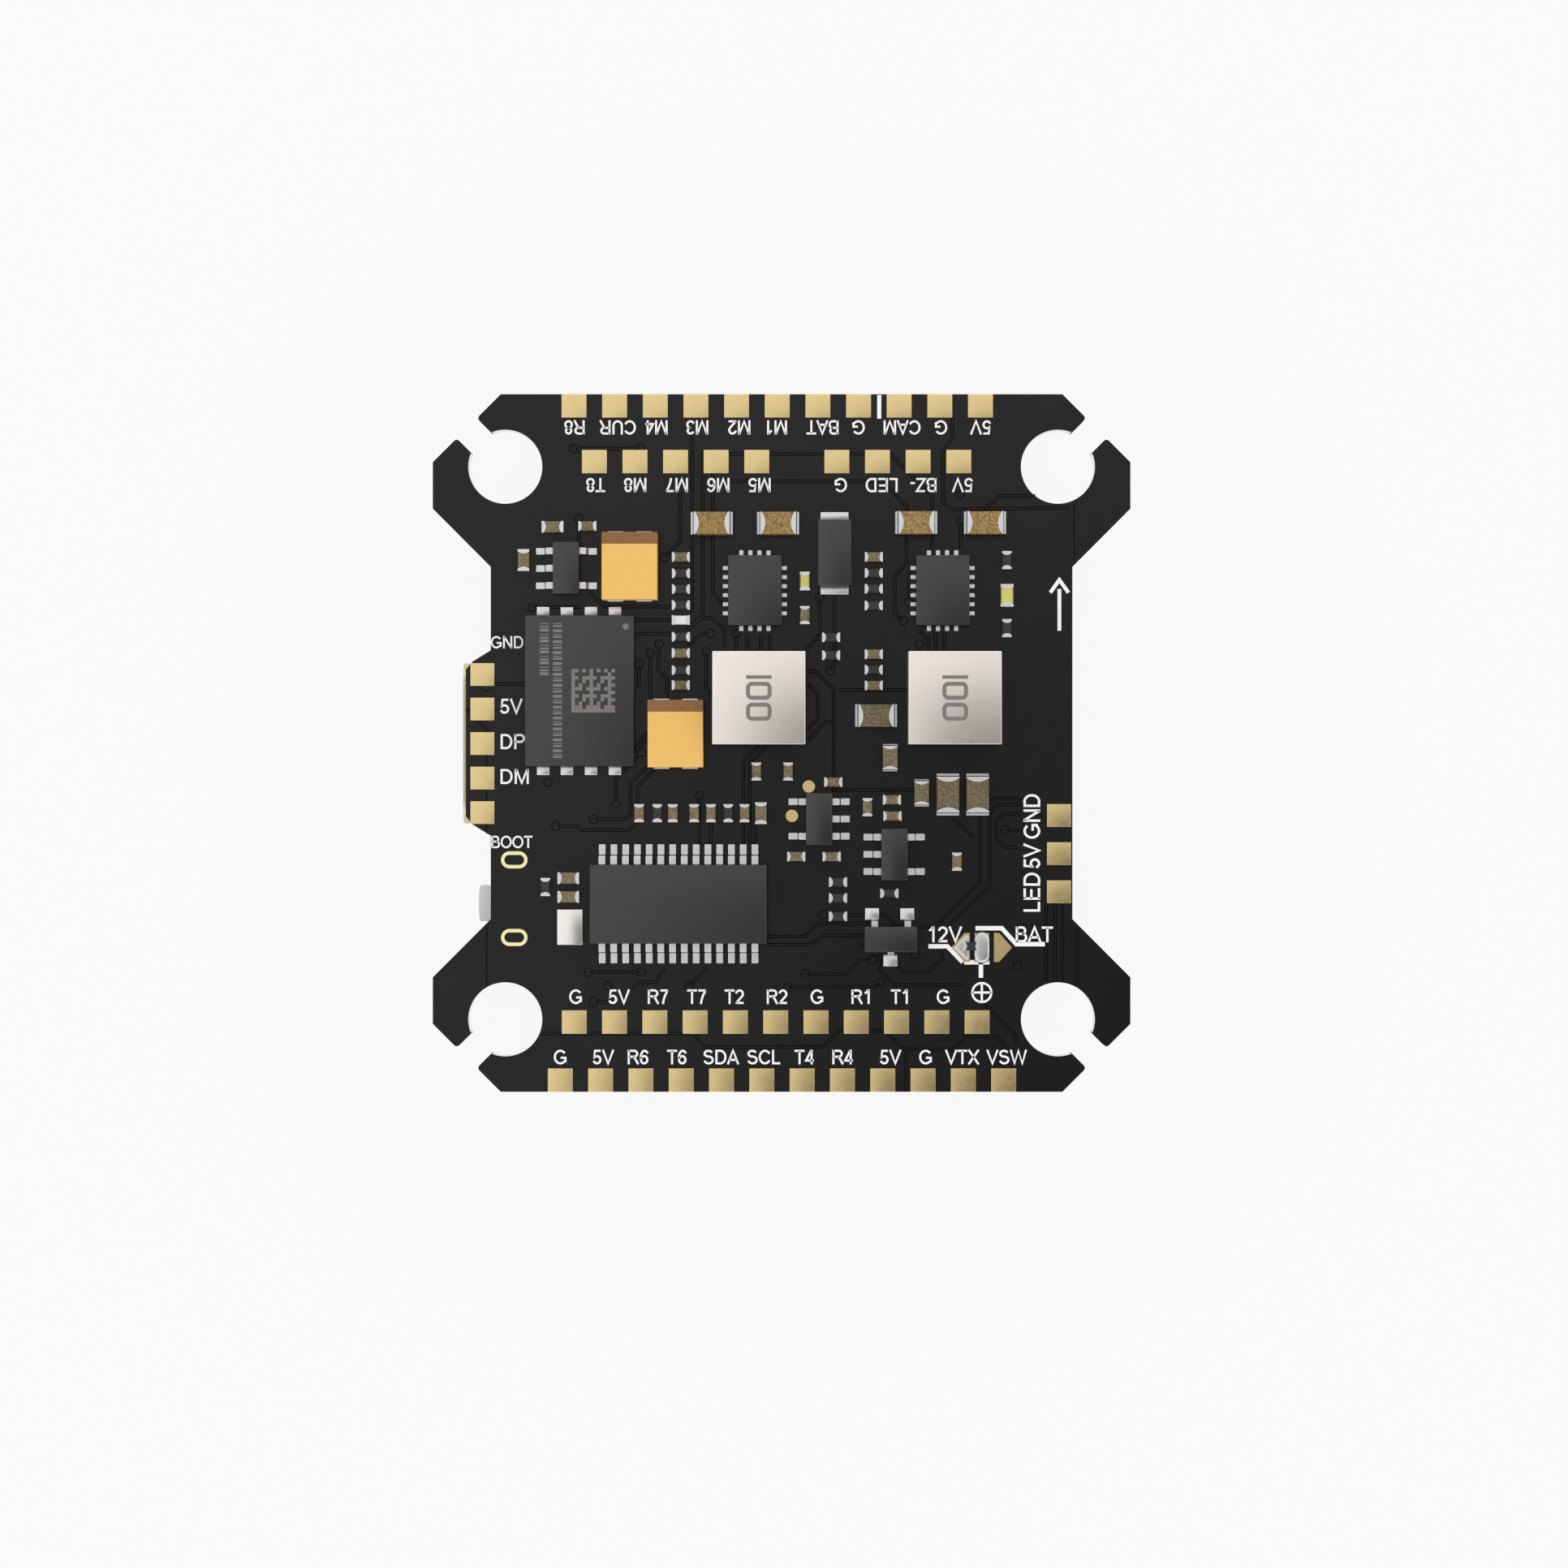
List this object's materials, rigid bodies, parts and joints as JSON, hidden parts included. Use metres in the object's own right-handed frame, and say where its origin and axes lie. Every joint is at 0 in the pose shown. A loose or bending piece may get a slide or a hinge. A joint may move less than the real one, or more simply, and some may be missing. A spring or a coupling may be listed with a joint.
{
  "type": "flight controller board",
  "caption": "Square black flight controller board with slotted corner mounting holes, gold solder pads along its edges, chips on both sides, a USB socket and a sprung side push button.",
  "frame": {"origin": "centre of the four mounting holes, on the underside of the bare board", "axes": "+Z out of the labelled top side, +X away from the USB socket, +Y towards the motor pad row"},
  "size_m": [0.0384, 0.0384, 0.0078],
  "materials": {
    "solder_mask": "matte black solder mask over glass-epoxy laminate",
    "gold_plating": "satin gold plating",
    "solder": "smooth solder",
    "tinned_metal": "satin tin plating",
    "chip_plastic": "fine-grained black moulding compound",
    "inductor_composite": "satin pressed metal powder, pale beige",
    "tantalum_resin": "satin orange resin with a brown band",
    "crystal_can": "satin nickel",
    "capacitor_ceramic": "brown ceramic",
    "resistor_glaze": "dark glaze",
    "led_lens": "pale yellow-green lens",
    "fuse_ceramic": "white ceramic",
    "usb_steel": "satin plated steel",
    "socket_black": "black engineering plastic",
    "switch_steel": "satin steel",
    "plunger_plastic": "light grey engineering plastic",
    "socket_cream": "natural nylon"
  },
  "bodies": {
    "board": {"circuit_board": "solder_mask", "pads_top_edge": "gold_plating", "pads_top_inner": "gold_plating", "pads_bottom_inner": "gold_plating", "pads_bottom_edge": "gold_plating", "pads_usb_side": "gold_plating", "pads_led_side": "gold_plating", "test_pads": "gold_plating", "jumper_pads": "gold_plating", "switch_slot_rings": "gold_plating", "jumper_solder": "solder", "flash_memory_terminals": "tinned_metal", "display_chip_leads": "tinned_metal", "converter_terminals": "tinned_metal", "inductor_bodies": "inductor_composite", "inductor_terminals": "tinned_metal", "tantalum_bodies": "tantalum_resin", "tantalum_terminals": "tinned_metal", "regulator_leads": "tinned_metal", "transistor_leads": "tinned_metal", "diode_terminals": "tinned_metal", "display_crystal": "crystal_can", "processor_crystal": "crystal_can", "large_capacitor_bodies": "capacitor_ceramic", "large_capacitor_terminals": "tinned_metal", "small_capacitor_bodies": "capacitor_ceramic", "small_capacitor_terminals": "tinned_metal", "resistor_bodies": "resistor_glaze", "resistor_terminals": "tinned_metal", "led_bodies": "led_lens", "led_terminals": "tinned_metal", "fuse_body": "fuse_ceramic", "fuse_terminals": "tinned_metal", "microcontroller_leads": "tinned_metal", "barometer_base": "chip_plastic", "barometer_lid": "crystal_can", "usb_shell": "usb_steel", "usb_tongue": "socket_black", "usb_contacts": "gold_plating", "switch_housing": "socket_black", "switch_cover": "switch_steel", "switch_dome": "switch_steel", "switch_contacts": "tinned_metal", "esc_socket_housing": "socket_cream", "esc_socket_pins": "tinned_metal", "video_socket_housing": "socket_cream", "video_socket_pins": "tinned_metal", "socket_anchors": "tinned_metal", "flash_memory_body": "chip_plastic", "display_chip_body": "chip_plastic", "converter_bodies": "chip_plastic", "regulator_bodies": "chip_plastic", "transistor_body": "chip_plastic", "diode_body": "chip_plastic", "microcontroller_body": "chip_plastic", "gyro_body": "chip_plastic"},
    "boot_button": {"switch_plunger": "plunger_plastic"}
  },
  "joints": [
    {"name": "boot_press", "type": "slide", "parent": "board", "child": "boot_button", "axis": [1, 0, 0], "range_m": [0, 0.00025], "stiffness_N_per_m": 6400, "deforming": ["switch_dome"]}
  ]
}
